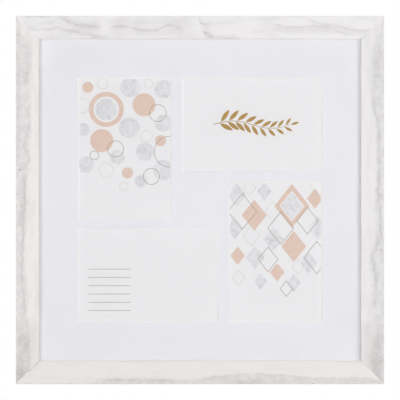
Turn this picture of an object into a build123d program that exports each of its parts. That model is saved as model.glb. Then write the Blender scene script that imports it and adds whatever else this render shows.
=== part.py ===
from build123d import *
from math import asin, atan2, cos, degrees, radians, sin, sqrt
import os

# Square collage photo frame in millimetres. X runs right as seen from the front, Y runs back
# towards the wall and Z runs up. The origin is where the top hanger's ring bears on a wall nail,
# level with the back of the moulding.

# Moulding
FRAME_SIZE = 400.0  # outside, across and up
RAIL_FACE = 25.0  # width of the moulding seen from the front
LIP_DEPTH = 5.0  # depth of the moulding in front of the glass
RABBET_WIDTH = 6.0  # how far the lip covers the glass
OUTER_EDGE_RADIUS = 0.5
SIGHT_EDGE_RADIUS = 0.4
BACK_EDGE_RADIUS = 0.8
MITRE_GAP = 0.2  # hairline left between two rails

# Sheets in the rabbet, front to back
SHEET_CLEARANCE = 1.0  # free room round every sheet
GLASS_THICKNESS = 2.0
MAT_THICKNESS = 1.4
PRINT_THICKNESS = 0.25
TAPE_THICKNESS = 0.1
BOARD_THICKNESS = 3.0
BOARD_RECESS = 0.2  # board sunk below the moulding's back
BOARD_CORNER_RADIUS = 2.0

# Prints and their windows
PRINT_WIDTH = 101.6
PRINT_LENGTH = 152.4
PRINT_OVERLAP = 1.25  # print hidden behind the mat on each side
WINDOW_GAP = 14.0  # between neighbouring windows
WINDOW_BEVEL = 1.4  # how far the cut edge flares out towards the glass
TAPE_WIDTH = 19.0
TAPE_REACH = 8.0  # tape on the print, and as much on the mat
TAPE_INSET = 12.0  # tape from the end of the print's edge

# V-nails
NAIL_LEG = 7.0
NAIL_SHEET = 0.6
NAIL_HEIGHT = 6.0
NAIL_SPREAD = 38.0  # degrees from the mitre to each leg
NAIL_FIRST = 5.0  # point of the first nail from the rabbet's corner, along the mitre
NAIL_PITCH = 9.0
NAILS_PER_CORNER = 2

# Turn buttons and their screws
BUTTON_OFFSET = 90.0  # pivot from the middle of its rail
BUTTON_SETBACK = 8.0  # pivot from the rabbet's edge
BUTTON_THICKNESS = 1.2
BUTTON_PIVOT_RADIUS = 5.5
BUTTON_TIP_RADIUS = 3.6
BUTTON_REACH = 15.5  # pivot to the centre of the tip's arc
BUTTON_LIFT = 0.1  # running gap under the button
BUTTON_PLAY = 0.1  # running gap under the screw's head
PIVOT_CLEARANCE = 0.08  # hole over shank, on the radius
RIB_WIDTH = 2.6
RIB_HEIGHT = 0.6
RIB_END_GAP = 1.6  # from the screw's head to the rib
SCREW_RADIUS = 1.6
SCREW_GRIP = 5.5  # full shank in the wood
SCREW_POINT = 2.5
SCREW_HEAD_RADIUS = 3.5
SCREW_HEAD_HEIGHT = 2.2
SCREW_HEAD_ROUND = 1.4
RECESS_LENGTH = 4.2
RECESS_WIDTH = 1.0
RECESS_DEPTH = 1.3

# Hangers
HOOK_DROP = 35.0  # nail below the frame's top edge
WIRE_RADIUS = 1.0
RING_HALF_WIDTH = 12.5  # middle of the bar to the corner of the wire's centre line
RING_RISE = 20.0  # bar to the unrounded tip of the centre line
RING_BEND_RADIUS = 2.5
RING_TIP_RADIUS = 4.0
RING_BUTT_GAP = 0.3  # between the two ends of the wire
RING_REST_GAP = 0.15  # tip to board
EYE_CLEARANCE = 0.08  # eye over bar, on the radius
STRAP_SHEET = 0.8
STRAP_WIDTH = 10.0
STRAP_LENGTH = 24.0  # bar to the end of the strap
STRAP_END_RADIUS = 2.5
STRAP_CLOSE = 6.0  # bar to where the two leaves meet
LEAF_GAP = 0.1
RIVET_RADIUS = 2.0
RIVET_BORE_RADIUS = 1.2
RIVET_HEAD_RADIUS = 3.4
RIVET_HEAD_HEIGHT = 0.9
RIVET_HEAD_ROUND = 0.6
RIVET_TAIL_RADIUS = 3.2
RIVET_TAIL_HEIGHT = 0.7
RIVET_TAIL_SINK = 0.1  # tail below the board's front
RIVET_FIRST = 9.5  # bar to the first rivet
RIVET_PITCH = 9.5
RIVETS_PER_STRAP = 2
FASTENER_FIT = 0.02  # hole over rivet or screw, on the radius

# Worked out from the sizes above
HALF = FRAME_SIZE / 2
RABBET_DEPTH = (
    GLASS_THICKNESS + MAT_THICKNESS + PRINT_THICKNESS + TAPE_THICKNESS + BOARD_THICKNESS + BOARD_RECESS
)
RAIL_DEPTH = LIP_DEPTH + RABBET_DEPTH
LAND_WIDTH = RAIL_FACE - RABBET_WIDTH
SHEET_SIZE = FRAME_SIZE - 2 * LAND_WIDTH - 2 * SHEET_CLEARANCE
WINDOW_WIDTH = PRINT_WIDTH - 2 * PRINT_OVERLAP
WINDOW_LENGTH = PRINT_LENGTH - 2 * PRINT_OVERLAP
GLASS_FRONT = -RABBET_DEPTH
MAT_FRONT = GLASS_FRONT + GLASS_THICKNESS
MAT_BACK = MAT_FRONT + MAT_THICKNESS
PRINT_BACK = MAT_BACK + PRINT_THICKNESS
BOARD_FRONT = PRINT_BACK + TAPE_THICKNESS
BOARD_BACK = BOARD_FRONT + BOARD_THICKNESS
BUTTON_FRONT = BUTTON_LIFT
BUTTON_BACK = BUTTON_FRONT + BUTTON_THICKNESS
HEAD_FRONT = BUTTON_BACK + BUTTON_PLAY
HEAD_BACK = HEAD_FRONT + SCREW_HEAD_HEIGHT
PIVOT_FROM_CENTRE = HALF - LAND_WIDTH + BUTTON_SETBACK
EYE_RADIUS = WIRE_RADIUS + EYE_CLEARANCE
EYE_OUTER_RADIUS = EYE_RADIUS + STRAP_SHEET
BAR_Y = BOARD_BACK + EYE_OUTER_RADIUS
LEAVES_THICKNESS = 2 * STRAP_SHEET + LEAF_GAP
STRAP_BACK = BOARD_BACK + LEAVES_THICKNESS
RIVET_BACK = STRAP_BACK + RIVET_HEAD_HEIGHT
RING_TIP_HALF_ANGLE = atan2(RING_HALF_WIDTH, RING_RISE)
RING_TIP = RING_RISE - RING_TIP_RADIUS * (1 / sin(RING_TIP_HALF_ANGLE) - 1)
RING_LEAN = degrees(asin((BAR_Y - BOARD_BACK - WIRE_RADIUS - RING_REST_GAP) / RING_TIP))
NAIL_ABOVE_BAR = RING_TIP * cos(radians(RING_LEAN)) - WIRE_RADIUS
BAR_FROM_CENTRE = HALF - HOOK_DROP - NAIL_ABOVE_BAR
CENTRE_Z = HOOK_DROP - HALF
THROUGH = FRAME_SIZE  # longer than any cut needs

# Turn about Y that carries the bottom rail to each side, and what its two ends are then called
SIDES = {
    "bottom": (0, ("left", "right")),
    "left": (90, ("upper", "lower")),
    "top": (180, ("right", "left")),
    "right": (270, ("lower", "upper")),
}
# Turn about Y that carries the top hanger to its place
HANGER_TURNS = {"top": 0, "side": 90}


def slab(outline, front, back):
    """Solid of an X-Z outline between two depths."""
    return extrude(Plane.XZ.offset(-back) * outline, amount=back - front)


def prism(outline, width):
    """Solid of a Y-Z outline, centred across X."""
    return extrude(Plane.YZ * outline, amount=width / 2, both=True)


def v_nails():
    """V-nails of the bottom-left corner, points towards the opening and legs astride the mitre."""
    leg = Pos(-NAIL_LEG / 2, 0) * Rectangle(NAIL_LEG, NAIL_SHEET)
    vee = Rot(0, 0, NAIL_SPREAD) * leg + Rot(0, 0, -NAIL_SPREAD) * leg
    nails = []
    for index in range(NAILS_PER_CORNER):
        along = (NAIL_FIRST + index * NAIL_PITCH) / sqrt(2)
        corner = -HALF + LAND_WIDTH - along
        nails.append(slab(Pos(corner, corner) * Rot(0, 0, 45) * vee, -NAIL_HEIGHT, 0))
    return nails


def bottom_rail():
    """Bottom moulding rail with its rabbet, mitres, nail slots and pilot holes."""
    outer = -HALF
    sight = outer + RAIL_FACE
    rabbet = outer + LAND_WIDTH
    section = make_face(
        FilletPolyline(
            (-RAIL_DEPTH, outer),
            (-RAIL_DEPTH, sight),
            (-RABBET_DEPTH, sight),
            (-RABBET_DEPTH, rabbet),
            (0, rabbet),
            (0, outer),
            radius=[OUTER_EDGE_RADIUS, SIGHT_EDGE_RADIUS, 0, 0, 0, BACK_EDGE_RADIUS],
            close=True,
        )
    )
    mitre_top = -MITRE_GAP / sqrt(2)
    mitre_foot = mitre_top - FRAME_SIZE
    between_mitres = make_face(
        Polyline((0, mitre_top), (-FRAME_SIZE, mitre_foot), (FRAME_SIZE, mitre_foot), close=True)
    )
    rail = prism(section, FRAME_SIZE) & slab(between_mitres, -THROUGH, THROUGH)
    for nail in v_nails():
        rail -= nail
        rail -= mirror(nail, Plane.YZ)
    for side in (-1, 1):
        rail -= Pos(side * BUTTON_OFFSET, 0, -PIVOT_FROM_CENTRE) * screw_shank(FASTENER_FIT)
    return rail


def screw_shank(clearance):
    """Pointed shank of a turn-button screw, fatter by a clearance where it stands for its hole."""
    radius = SCREW_RADIUS + clearance
    shank = slab(Circle(radius), -SCREW_GRIP, HEAD_FRONT)
    point = Rot(90, 0, 0) * Cone(radius, radius / 4, SCREW_POINT)
    return shank + Pos(0, -SCREW_GRIP - SCREW_POINT / 2, 0) * point


def button_screw():
    """Pan-head screw with a cross recess, its shank along Y."""
    head = slab(Circle(SCREW_HEAD_RADIUS), HEAD_FRONT, HEAD_BACK)
    head = fillet(head.edges().sort_by(Axis.Y)[-1], SCREW_HEAD_ROUND)
    arm = Rectangle(RECESS_LENGTH, RECESS_WIDTH)
    recess = slab(arm + Rot(0, 0, 90) * arm, HEAD_BACK - RECESS_DEPTH, HEAD_BACK + RECESS_DEPTH)
    return head - recess + screw_shank(0)


def turn_button():
    """Turn button on the bottom rail's side of the opening, its tip upwards over the board."""
    pivot_end = Circle(BUTTON_PIVOT_RADIUS)
    tip_end = Pos(0, BUTTON_REACH) * Circle(BUTTON_TIP_RADIUS)
    plate = slab(make_hull(pivot_end.edges() + tip_end.edges()), BUTTON_FRONT, BUTTON_BACK)
    rib_start = SCREW_HEAD_RADIUS + RIB_END_GAP
    rib_end = BUTTON_REACH + RIB_WIDTH / 2
    rib_outline = Rot(0, 0, 90) * SlotOverall(rib_end - rib_start, RIB_WIDTH)
    rib = slab(Pos(0, (rib_start + rib_end) / 2) * rib_outline, BUTTON_BACK, BUTTON_BACK + RIB_HEIGHT)
    rib = fillet(rib.edges().group_by(Axis.Y)[-1], RIB_HEIGHT / 2)
    hole = slab(Circle(SCREW_RADIUS + PIVOT_CLEARANCE), -THROUGH, THROUGH)
    return plate + rib - hole


def window_places():
    """Centre, width and height of each window in a pinwheel about the frame's centre."""
    near = (WINDOW_WIDTH + WINDOW_GAP) / 2
    far = (WINDOW_LENGTH + WINDOW_GAP) / 2
    return {
        "top_left": (-far, near, WINDOW_WIDTH, WINDOW_LENGTH),
        "top_right": (near, far, WINDOW_LENGTH, WINDOW_WIDTH),
        "bottom_left": (-near, -far, WINDOW_LENGTH, WINDOW_WIDTH),
        "bottom_right": (far, -near, WINDOW_WIDTH, WINDOW_LENGTH),
    }


def window_mat():
    """Mat board with four windows whose cut edges flare out towards the glass."""
    mat = slab(Rectangle(SHEET_SIZE, SHEET_SIZE), MAT_FRONT, MAT_BACK)
    for x, z, width, height in window_places().values():
        at_back = Plane.XZ.offset(-MAT_BACK) * Pos(x, z) * Rectangle(width, height)
        flared = Rectangle(width + 2 * WINDOW_BEVEL, height + 2 * WINDOW_BEVEL)
        at_front = Plane.XZ.offset(-MAT_FRONT) * Pos(x, z) * flared
        mat -= loft([at_back.face(), at_front.face()])
    return mat


def prints():
    """The four prints by name, each a little larger than its window."""
    sheets = {}
    for name, (x, z, width, height) in window_places().items():
        sheet = Rectangle(width + 2 * PRINT_OVERLAP, height + 2 * PRINT_OVERLAP)
        sheets["print_" + name] = slab(Pos(x, z) * sheet, MAT_BACK, PRINT_BACK)
    return sheets


def print_tapes():
    """Two tape strips over the top edge of each print, stepping down from the print to the mat."""
    step = PRINT_THICKNESS
    section = make_face(
        Polyline(
            (PRINT_BACK, -TAPE_REACH),
            (PRINT_BACK, 0),
            (MAT_BACK, step),
            (MAT_BACK, step + TAPE_REACH),
            (MAT_BACK + TAPE_THICKNESS, step + TAPE_REACH),
            (MAT_BACK + TAPE_THICKNESS, step + TAPE_THICKNESS / 2),
            (BOARD_FRONT, TAPE_THICKNESS / 2),
            (BOARD_FRONT, -TAPE_REACH),
            close=True,
        )
    )
    strip = prism(section, TAPE_WIDTH)
    strips = []
    for x, z, width, height in window_places().values():
        top_edge = z + height / 2 + PRINT_OVERLAP
        from_middle = width / 2 + PRINT_OVERLAP - TAPE_INSET - TAPE_WIDTH / 2
        for side in (-1, 1):
            strips.append(Pos(x + side * from_middle, 0, top_edge) * strip)
    return strips


def rivet_heights():
    """Height of each rivet of the top strap above the frame's centre."""
    return [BAR_FROM_CENTRE - RIVET_FIRST - index * RIVET_PITCH for index in range(RIVETS_PER_STRAP)]


def rivet():
    """Tubular rivet along Y, its rounded head on the strap and its rolled tail sunk in the board."""
    tail_front = BOARD_FRONT + RIVET_TAIL_SINK
    head = slab(Circle(RIVET_HEAD_RADIUS), STRAP_BACK, RIVET_BACK)
    head = fillet(head.edges().sort_by(Axis.Y)[-1], RIVET_HEAD_ROUND)
    shank = slab(Circle(RIVET_RADIUS), tail_front, STRAP_BACK)
    tail = slab(Circle(RIVET_TAIL_RADIUS), tail_front, tail_front + RIVET_TAIL_HEIGHT)
    return head + shank + tail - slab(Circle(RIVET_BORE_RADIUS), -THROUGH, THROUGH)


def backing_board():
    """Backing board with a stepped hole for each rivet."""
    board = slab(RectangleRounded(SHEET_SIZE, SHEET_SIZE, BOARD_CORNER_RADIUS), BOARD_FRONT, BOARD_BACK)
    sink_back = BOARD_FRONT + RIVET_TAIL_SINK + RIVET_TAIL_HEIGHT
    hole = slab(Circle(RIVET_RADIUS + FASTENER_FIT), BOARD_FRONT, BOARD_BACK)
    hole += slab(Circle(RIVET_TAIL_RADIUS + FASTENER_FIT), BOARD_FRONT, sink_back)
    for turn in HANGER_TURNS.values():
        for height in rivet_heights():
            board -= Rot(0, turn, 0) * Pos(0, 0, height) * hole
    return board


def hanger_strap():
    """Top hanger's strap: one strip folded round the ring's bar, its two leaves riveted together."""
    end = BAR_FROM_CENTRE - STRAP_LENGTH
    close = BAR_FROM_CENTRE - STRAP_CLOSE
    leaves_middle = BOARD_BACK + LEAVES_THICKNESS / 2
    eye = Pos(BAR_Y, BAR_FROM_CENTRE) * Circle(EYE_OUTER_RADIUS)
    leaves = Pos(leaves_middle, (end + close) / 2) * Rectangle(LEAVES_THICKNESS, close - end)
    neck = make_hull(eye.edges() + leaves.edges().sort_by(Axis.Y)[-1:])
    strap = prism(leaves + neck, STRAP_WIDTH)
    strap -= prism(Pos(BAR_Y, BAR_FROM_CENTRE) * Circle(EYE_RADIUS), THROUGH)
    split = Pos(leaves_middle, (end + BAR_FROM_CENTRE) / 2) * Rectangle(LEAF_GAP, STRAP_LENGTH)
    strap -= prism(split, THROUGH)
    outline_height = STRAP_LENGTH + EYE_OUTER_RADIUS + STRAP_END_RADIUS
    outline = RectangleRounded(STRAP_WIDTH, outline_height, STRAP_END_RADIUS)
    strap &= slab(Pos(0, end + outline_height / 2) * outline, -THROUGH, THROUGH)
    hole = slab(Circle(RIVET_RADIUS + FASTENER_FIT), -THROUGH, THROUGH)
    for height in rivet_heights():
        strap -= Pos(0, 0, height) * hole
    return strap


def hanger_ring():
    """Top hanger's triangle ring of bent wire, leaning back so that its tip rests by the board."""
    butt = RING_BUTT_GAP / 2
    path = FilletPolyline(
        (butt, 0, 0),
        (RING_HALF_WIDTH, 0, 0),
        (0, 0, RING_RISE),
        (-RING_HALF_WIDTH, 0, 0),
        (-butt, 0, 0),
        radius=[RING_BEND_RADIUS, RING_TIP_RADIUS, RING_BEND_RADIUS],
    )
    wire = sweep(Plane(path @ 0, z_dir=path % 0) * Circle(WIRE_RADIUS), path=path)
    return Pos(0, BAR_Y, BAR_FROM_CENTRE) * Rot(RING_LEAN, 0, 0) * wire


def rails_and_buttons():
    """Rails, turn buttons, their screws and the V-nails, all by the bottom rail's turned copies."""
    nodes = {}
    screws = []
    nails = []
    rail = bottom_rail()
    button = turn_button()
    screw = button_screw()
    corner_nails = v_nails()
    for side, (turn, ends) in SIDES.items():
        nodes[side + "_rail"] = Rot(0, turn, 0) * rail
        nails += [Rot(0, turn, 0) * nail for nail in corner_nails]
        for direction, end in zip((-1, 1), ends):
            pivot = Rot(0, turn, 0) * Pos(direction * BUTTON_OFFSET, 0, -PIVOT_FROM_CENTRE)
            nodes[f"turn_button_{side}_{end}"] = pivot * button
            screws.append(pivot * screw)
    nodes["turn_button_screws"] = Compound(screws)
    nodes["corner_v_nails"] = Compound(nails)
    return nodes


def hangers():
    """Straps, rings and rivets of both hangers."""
    nodes = {}
    rivets = []
    for place, turn in HANGER_TURNS.items():
        nodes["hanger_strap_" + place] = Rot(0, turn, 0) * hanger_strap()
        nodes["hanger_ring_" + place] = Rot(0, turn, 0) * hanger_ring()
        rivets += [Rot(0, turn, 0) * Pos(0, 0, height) * rivet() for height in rivet_heights()]
    nodes["hanger_rivets"] = Compound(rivets)
    return nodes


def sheets():
    """Glass, mat, prints, tapes and backing board."""
    nodes = {
        "glass_pane": slab(Rectangle(SHEET_SIZE, SHEET_SIZE), GLASS_FRONT, MAT_FRONT),
        "window_mat": window_mat(),
        "print_tapes": Compound(print_tapes()),
        "backing_board": backing_board(),
    }
    return nodes | prints()


def main():
    """Write every piece, moved so that the origin is the top hanger's nail."""
    os.makedirs("parts", exist_ok=True)
    for name, shape in (rails_and_buttons() | sheets() | hangers()).items():
        export_step(Pos(0, 0, CENTRE_Z) * shape, f"parts/{name}.step")
    print(f"outside {FRAME_SIZE:.1f} mm square, moulding {RAIL_DEPTH:.2f} mm deep")
    print(f"ring leans {RING_LEAN:.2f} degrees, bar {NAIL_ABOVE_BAR:.2f} mm below the nail")


if __name__ == "__main__":
    main()
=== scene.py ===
"""Looks of a square collage photo frame that hangs on a wall.

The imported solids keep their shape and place. This script gives each of them its finish, prints the four
sheets behind the mat as thin films of ink, and sets up the camera, the lights and the floor.
"""

import cmath
import logging
import math
from abc import ABC, abstractmethod
from collections.abc import Iterable, Iterator
from dataclasses import dataclass
from enum import Enum
from typing import ClassVar, NamedTuple

import bmesh
import bpy
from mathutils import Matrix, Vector

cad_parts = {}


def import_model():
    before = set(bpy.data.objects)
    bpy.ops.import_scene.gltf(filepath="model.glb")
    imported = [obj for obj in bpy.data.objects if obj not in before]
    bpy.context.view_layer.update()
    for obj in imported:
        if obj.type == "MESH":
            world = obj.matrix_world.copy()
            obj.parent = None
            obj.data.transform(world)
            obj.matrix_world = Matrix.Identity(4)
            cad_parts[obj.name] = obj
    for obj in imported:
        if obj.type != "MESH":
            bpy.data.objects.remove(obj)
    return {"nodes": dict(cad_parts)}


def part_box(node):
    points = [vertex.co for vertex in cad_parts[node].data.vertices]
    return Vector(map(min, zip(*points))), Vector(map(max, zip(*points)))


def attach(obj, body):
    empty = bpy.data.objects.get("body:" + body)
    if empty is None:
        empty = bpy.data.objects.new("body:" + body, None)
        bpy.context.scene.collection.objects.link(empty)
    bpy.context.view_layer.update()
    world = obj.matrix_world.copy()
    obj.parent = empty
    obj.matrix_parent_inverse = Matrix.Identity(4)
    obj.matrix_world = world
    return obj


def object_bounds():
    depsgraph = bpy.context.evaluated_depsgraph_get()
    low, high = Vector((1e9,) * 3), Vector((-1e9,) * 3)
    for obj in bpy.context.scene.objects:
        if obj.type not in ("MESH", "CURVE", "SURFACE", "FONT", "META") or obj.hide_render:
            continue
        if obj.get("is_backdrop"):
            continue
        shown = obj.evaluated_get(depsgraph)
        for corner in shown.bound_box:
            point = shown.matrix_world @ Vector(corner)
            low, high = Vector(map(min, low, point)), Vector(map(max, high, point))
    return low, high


Colour = tuple[float, float, float, float]
Inputs = dict[int | str, object]
Nodes = dict[str, bpy.types.Object]
Point = tuple[float, float]
Polygon = list[Point]
Socket = bpy.types.NodeSocket
Tree = bpy.types.NodeTree

MM = 0.001
FRAME_BODY = "frame"
# A Mix node for colours takes the share at input 0 and the colours at 6 and 7, and mixes them at output 2.
COLOURS = {"output": 2, "data_type": "RGBA"}
# A Map Range node takes its value at input 0, its limits at 1 and 2, and what they become at 3 and 4.
EASED = {"interpolation_type": "SMOOTHSTEP"}
# Most values of a noise lie between these limits, on both sides of its middle.
NOISE_SPAN = {1: 0.3, 2: 0.7}
NOISE_MIDDLE = 0.5
# The grain breaks a ragged vein above the first limit and leaves it whole below the second.
GRAIN_BREAK = {1: 0.54, 2: 0.45}
# A vein is printed at half its strength below the first limit and in full above the second.
VEIN_PULSE = {1: 0.36, 2: 0.56, 3: 0.5}
# A direction, as a complex number, times this is the direction to its left.
TO_LEFT = 1j
log = logging.getLogger("collage_frame")


def linear(hex_colour: str) -> Colour:
    """Turn an sRGB hex value into a linear colour.

    Args:
        hex_colour: The colour as #RRGGBB.

    Returns:
        Linear red, green and blue, with full alpha.
    """
    shares = [int(hex_colour[start : start + 2], 16) / 255 for start in (1, 3, 5)]
    red, green, blue = (s / 12.92 if s <= 0.04045 else ((s + 0.055) / 1.055) ** 2.4 for s in shares)
    return red, green, blue, 1.0


def add_node(
    tree: Tree, kind: str, inputs: Inputs | None = None, output: int | str = 0, **settings: object
) -> Socket | None:
    """Add one shader node with its settings, values and links.

    Args:
        tree: The material's node tree.
        kind: Blender's name for the kind of node, without the word ShaderNode.
        inputs: For each input, by name or number, the socket to link to it or the value to set.
        output: The output that is wanted, by name or number.
        settings: The node's own properties.

    Returns:
        That output, or None where the node has no outputs.
    """
    node = tree.nodes.new("ShaderNode" + kind)
    for name, value in settings.items():
        setattr(node, name, value)
    for key, value in (inputs or {}).items():
        if isinstance(value, Socket):
            tree.links.new(value, node.inputs[key])
        else:
            node.inputs[key].default_value = value
    return node.outputs[output] if node.outputs else None


def place_in_mm(tree: Tree) -> Socket:
    """Give the place on the piece in millimetres of the shared frame."""
    place = add_node(tree, "TexCoord", output="Object")
    return add_node(tree, "VectorMath", {0: place, "Scale": 1 / MM}, operation="SCALE")


class Tone(NamedTuple):
    """A tone that lies over a ground where a pattern has certain values.

    Attributes:
        colour: The tone's sRGB hex value.
        begin: The pattern's value where the tone begins.
        full: The pattern's value where it is full.
        share: How much of the ground it covers there.
        eased: Whether it comes in softly at both values rather than evenly.
    """

    colour: str
    begin: float
    full: float
    share: float = 1.0
    eased: bool = True


def lay_tones(tree: Tree, ground: Socket | Colour, pattern: Socket, *tones: Tone) -> Socket:
    """Lay tones over a ground.

    Args:
        tree: The material's node tree.
        ground: The colour underneath.
        pattern: The pattern's values.
        tones: The tones, each over the ones before it.

    Returns:
        A colour socket.
    """
    for tone in tones:
        limits = {1: tone.begin, 2: tone.full, 4: tone.share}
        share = add_node(tree, "MapRange", {0: pattern, **limits}, **(EASED if tone.eased else {}))
        ground = add_node(tree, "Mix", {0: share, 6: ground, 7: linear(tone.colour)}, **COLOURS)
    return ground


def coat(
    tree: Tree,
    colour: Socket,
    height: Socket,
    rough: Point,
    relief: float,
    strength: float = 0.5,
    **more: float,
) -> Socket:
    """Give a colour the gloss and the relief of a fine pattern.

    Args:
        tree: The material's node tree.
        colour: The colour.
        height: The pattern.
        rough: Roughness where the pattern is low and where it is high.
        relief: Height of the pattern in millimetres.
        strength: Share of the relief that light shows.
        more: Values of more of the shader's inputs.

    Returns:
        The shader.
    """
    gloss = add_node(tree, "MapRange", {0: height, **NOISE_SPAN, 3: rough[0], 4: rough[1]})
    bump = add_node(tree, "Bump", {"Height": height, "Distance": relief * MM, "Strength": strength})
    inputs = {"Base Color": colour, "Roughness": gloss, "Normal": bump, **more}
    return add_node(tree, "BsdfPrincipled", inputs)


@dataclass(frozen=True)
class Finish(ABC):
    """A finish whose material is made once and then shared.

    Attributes:
        name: The material's name.
    """

    name: str

    def material(self) -> bpy.types.Material:
        """Make the material, or find it where another piece already has it.

        Returns:
            The finish's material.
        """
        found = bpy.data.materials.get(self.name)
        if found is not None:
            return found
        made = bpy.data.materials.new(self.name)
        made.use_nodes = True
        made.node_tree.nodes.clear()
        add_node(made.node_tree, "OutputMaterial", {"Surface": self.surface(made.node_tree)})
        return made

    @abstractmethod
    def surface(self, tree: Tree) -> Socket:
        """Add the finish's nodes.

        Args:
            tree: The material's node tree.

        Returns:
            The shader that the surface shows.
        """


@dataclass(frozen=True)
class Fibreboard(Finish):
    """Medium density fibreboard, pressed from wood fibre: a matt tan felt with dark and pale fibres.

    Attributes:
        tan: Colour of the pressed fibre.
        dark_fibre: Colour of bark and darker fibre.
        pale_fibre: Colour of the palest fibre.
        clump: Size in millimetres of the soft clumps that the press leaves.
        fibre: Length in millimetres of a fibre, drawn coarser than real so that it shows.
        rough: Lowest and highest roughness.
        relief: Height of the fibres in millimetres.
    """

    tan: str = "#B08F67"
    dark_fibre: str = "#86653F"
    pale_fibre: str = "#CDB28B"
    clump: float = 9.0
    fibre: float = 1.1
    rough: Point = (0.62, 0.78)
    relief: float = 0.03

    def felt(self, tree: Tree, place: Socket) -> tuple[Socket, Socket]:
        """Draw the felt of fibres.

        Args:
            tree: The material's node tree.
            place: The place in millimetres.

        Returns:
            The fibres as a value, from dark at 0 to pale at 1, and the felt's colour.
        """
        noise = {"Scale": 1 / self.fibre, "Detail": 5.0, "Roughness": 0.65, "Distortion": 1.4}
        fibres = add_node(tree, "TexNoise", {"Vector": place, **noise})
        clumps = add_node(tree, "TexNoise", {"Vector": place, "Scale": 1 / self.clump})
        clump_tone = Tone(self.dark_fibre, begin=0.35, full=0.65, share=0.35, eased=False)
        board = lay_tones(tree, linear(self.tan), clumps, clump_tone)
        dark = Tone(self.dark_fibre, begin=0.5, full=0.3, share=0.75)
        pale = Tone(self.pale_fibre, begin=0.5, full=0.72, share=0.8)
        return fibres, lay_tones(tree, board, fibres, dark, pale)

    def surface(self, tree: Tree) -> Socket:
        """Show the board as it comes from the press, a little smoother on its dark fibres."""
        fibres, colour = self.felt(tree, place_in_mm(tree))
        return coat(tree, colour, fibres, self.rough, self.relief, strength=0.7)


class RailSide(Enum):
    """The four rails, each with the axes that its foil runs along and across.

    The value holds the axis along the rail and the way that it runs, and then the axis across the rail, from
    its outer edge, and the way that it runs. Axes are 0 for X and 2 for Z.
    """

    TOP = ((0, 1), (2, -1))
    BOTTOM = ((0, 1), (2, 1))
    LEFT = ((2, -1), (0, 1))
    RIGHT = ((2, -1), (0, -1))

    @property
    def node(self) -> str:
        """Name of the rail's solid."""
        return self.name.lower() + "_rail"


@dataclass(frozen=True)
class FoilSheet:
    """One rail's foil laid out flat, with what its print is drawn by.

    Attributes:
        tree: The material's node tree.
        face: Width of the rail's face in millimetres.
        place: The place on the flat foil in millimetres.
        along: Millimetres along the rail, with the print's wandering.
        across: Millimetres in from the outer edge, with the print's wandering.
        grain: The print's grain, about 0.5.
        pulse: How strongly the veins are printed here, from 0 to 1.
    """

    tree: Tree
    face: float
    place: Socket
    along: Socket
    across: Socket
    grain: Socket
    pulse: Socket

    def past(self, path: tuple[Point, ...]) -> Socket:
        """Measure how far past a line a place lies.

        Args:
            path: Points of the line: millimetres along the rail, and millimetres in from its outer edge.

        Returns:
            Millimetres from the line towards the glass.
        """
        start = path[0][0]
        stop = path[-1][0]
        share = add_node(self.tree, "MapRange", {0: self.along, 1: start, 2: stop})
        line = add_node(self.tree, "FloatCurve", {1: share})
        first, *between, last = [((run - start) / (stop - start), inset / self.face) for run, inset in path]
        points = line.node.mapping.curves[0].points
        points[0].location = first
        points[1].location = last
        for point in between:
            points.new(*point)
        line.node.mapping.update()
        return add_node(self.tree, "Math", {0: line, 1: -self.face, 2: self.across}, operation="MULTIPLY_ADD")


@dataclass(frozen=True)
class FoilVein:
    """A vein printed on the foil.

    Attributes:
        path: Points of the vein: millimetres along the rail, and millimetres in from its outer edge.
        outer: Millimetres in which the vein's core fades towards the outer edge.
        inner: Millimetres in which it fades towards the glass.
        strength: Share of the vein's own colour at its middle.
        ragged: How far the print's grain breaks the core up, from 0 to 1.
        halo: Share of the strength that a soft shade beside the core keeps.
        halo_spread: How many times wider than the core that shade is.
        end: Millimetres in which each end of the vein fades.
        soft: Share of the half width in which it fades, less than 1 for a patch of even strength.
        tone: The vein's own colour.
    """

    path: tuple[Point, ...]
    outer: float
    inner: float
    strength: float
    ragged: float = 0.6
    halo: float = 0.45
    halo_spread: float = 2.4
    end: float = 5.0
    soft: float = 1.0
    tone: str = "#B1AEAE"

    def ridge(self, tree: Tree, off: Socket, spread: float, peak: float) -> Socket:
        """Draw the vein's soft cross-section.

        Args:
            tree: The material's node tree.
            off: Millimetres from the vein's middle.
            spread: How many times wider than the core the section is.
            peak: The value at its middle.

        Returns:
            The section's value.
        """
        outer, inner = (
            add_node(tree, "Math", {0: off, 1: 1 / (spread * width), 2: 1.0}, operation="MULTIPLY_ADD")
            for width in (self.outer, -self.inner)
        )
        within = add_node(tree, "Math", {0: outer, 1: inner}, operation="MINIMUM")
        return add_node(tree, "MapRange", {0: within, 2: self.soft, 4: peak}, **EASED)

    def draw(self, sheet: FoilSheet) -> Socket:
        """Draw the vein as a value.

        Args:
            sheet: The foil that it is printed on.

        Returns:
            The share of the vein's colour.
        """
        tree = sheet.tree
        off = sheet.past(self.path)
        core = self.ridge(tree, off, 1.0, self.strength)
        broken = add_node(tree, "MapRange", {0: sheet.grain, **GRAIN_BREAK, 3: 1 - self.ragged}, **EASED)
        core = add_node(tree, "Math", {0: core, 1: broken}, operation="MULTIPLY")
        shade = self.ridge(tree, off, self.halo_spread, self.strength * self.halo)
        drawn = add_node(tree, "Math", {0: core, 1: shade}, operation="MAXIMUM")
        shares = [sheet.pulse]
        for edge, reach in ((self.path[0][0], self.end), (self.path[-1][0], -self.end)):
            limits = {1: edge - reach, 2: edge + reach}
            shares.append(add_node(tree, "MapRange", {0: sheet.along, **limits}, **EASED))
        for share in shares:
            drawn = add_node(tree, "Math", {0: drawn, 1: share}, operation="MULTIPLY")
        return drawn


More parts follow.
